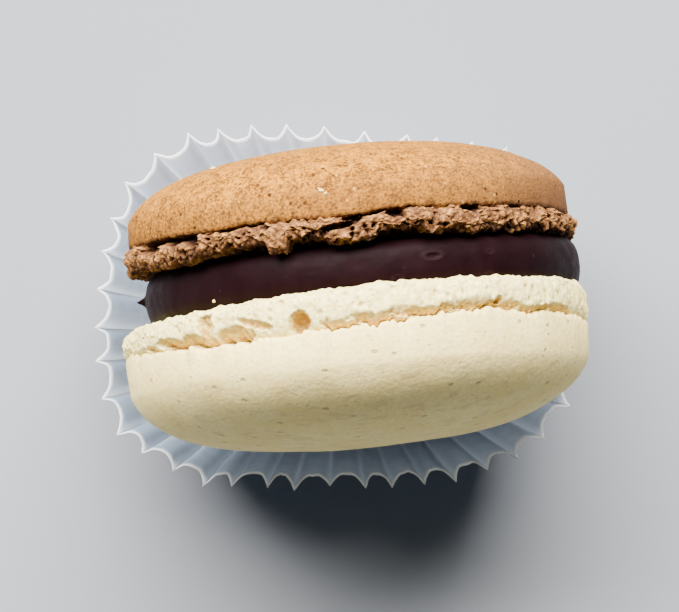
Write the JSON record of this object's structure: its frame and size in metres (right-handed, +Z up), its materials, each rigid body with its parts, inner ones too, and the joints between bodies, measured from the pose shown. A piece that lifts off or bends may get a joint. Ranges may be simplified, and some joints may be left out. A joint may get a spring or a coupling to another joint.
{
  "type": "macaron in a paper case",
  "caption": "Filled almond macaron with a brown and a cream shell around dark chocolate ganache, lying on its edge in a pleated white paper case.",
  "frame": {"origin": "on the table, under the middle of the paper case", "axes": "+Z up, +X along the long side of the case and across the faces of the shells, +Y from the cream shell to the brown shell"},
  "size_m": [0.0524, 0.0408, 0.0484],
  "materials": {
    "brown_shell": "matt, smooth baked almond shell with fine darker specks",
    "ganache": "satin dark chocolate ganache",
    "cream_shell": "matt, smooth baked almond shell in pale cream",
    "paper": "thin translucent white pleated paper"
  },
  "bodies": {
    "root": {"brown_shell": "brown_shell", "ganache_filling": "ganache", "cream_shell": "cream_shell", "paper_case": "paper"}
  },
  "joints": []
}
